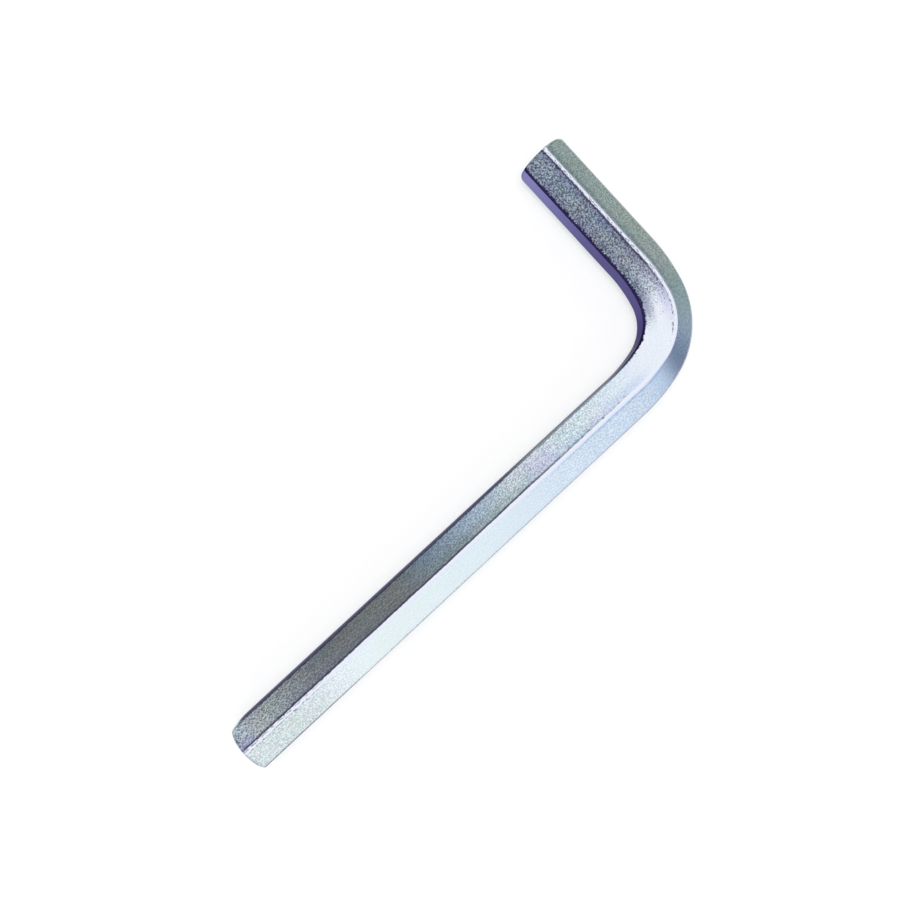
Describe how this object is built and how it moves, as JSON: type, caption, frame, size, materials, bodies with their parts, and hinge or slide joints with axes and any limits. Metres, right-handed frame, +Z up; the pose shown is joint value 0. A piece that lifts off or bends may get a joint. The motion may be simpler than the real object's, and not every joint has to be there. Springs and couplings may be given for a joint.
{
  "type": "hex key",
  "caption": "L-shaped hex key: a zinc-plated hexagonal steel bar bent to a right angle, with a long and a short arm and rounded ends.",
  "frame": {"origin": "on the surface the key lies on, below the middle of its bounding box", "axes": "+X from the long arm's end to the bend, +Y from the bend to the short arm's end, +Z up off the surface"},
  "size_m": [0.064, 0.0264, 0.0057],
  "materials": {
    "zinc_plated_steel": "zinc plating over drawn steel: satin, faintly grained and tinted, worn bright along the edges"
  },
  "bodies": {
    "root": {"hex_key": "zinc_plated_steel"}
  },
  "joints": []
}
